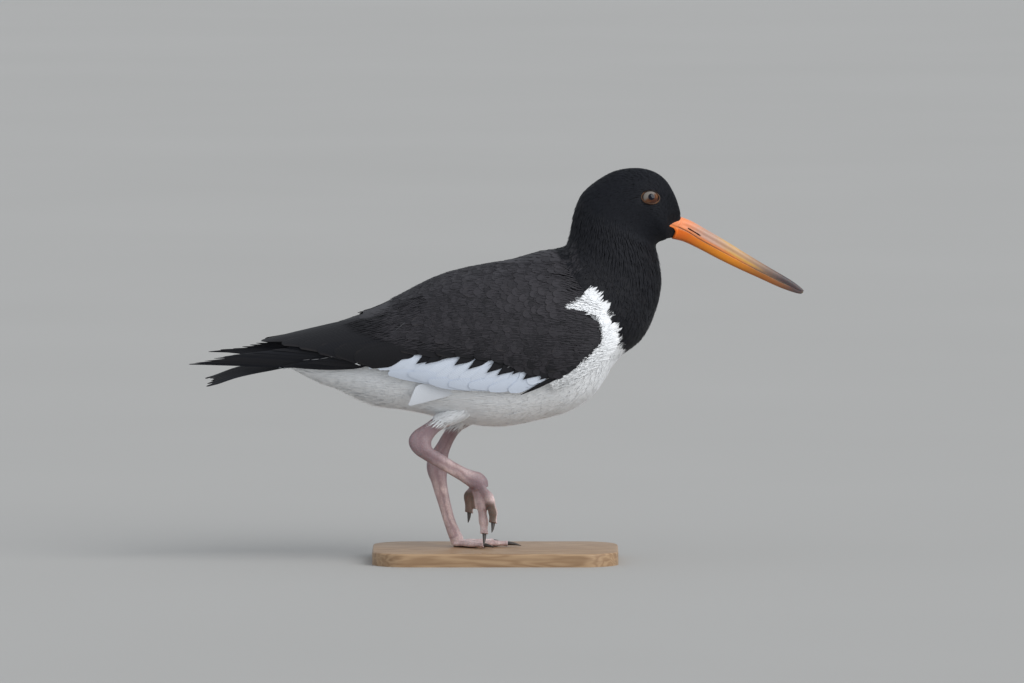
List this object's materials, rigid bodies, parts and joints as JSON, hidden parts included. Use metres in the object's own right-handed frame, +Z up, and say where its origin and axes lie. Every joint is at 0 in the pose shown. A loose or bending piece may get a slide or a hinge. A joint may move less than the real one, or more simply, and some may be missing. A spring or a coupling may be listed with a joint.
{
  "type": "oystercatcher model",
  "caption": "Life-size still model of a pied wading bird walking on one leg, with a long orange bill, folded wings with a white bar and a lifted foot, on a flat wooden base",
  "frame": {"origin": "centre of the bounding box in x and y, at the underside of the base, which is the floor", "axes": "+X the way the bird faces, out along the bill; +Y the bird's left; +Z up"},
  "size_m": [0.3746, 0.0996, 0.2404],
  "materials": {
    "plumage": "black and white feathers, softly matt",
    "bill": "orange horn, satin",
    "eye": "glossy glass eye",
    "leg": "dull pink scaly skin",
    "claw": "dark horn, satin",
    "base": "oiled wood, satin"
  },
  "bodies": {
    "root": {"torso": "plumage", "neck": "plumage", "head": "plumage", "wing_right": "plumage", "wing_left": "plumage", "tail": "plumage", "thigh_right": "plumage", "thigh_left": "plumage", "bill_upper": "bill", "bill_lower": "bill", "eye_right": "eye", "eye_left": "eye", "shank_right": "leg", "shank_left": "leg", "tarsus_right": "leg", "tarsus_left": "leg", "foot_right": "leg", "foot_left": "leg", "claw_right_inner": "claw", "claw_right_middle": "claw", "claw_right_outer": "claw", "claw_left_inner": "claw", "claw_left_middle": "claw", "claw_left_outer": "claw", "stand_base": "base"}
  },
  "joints": []
}
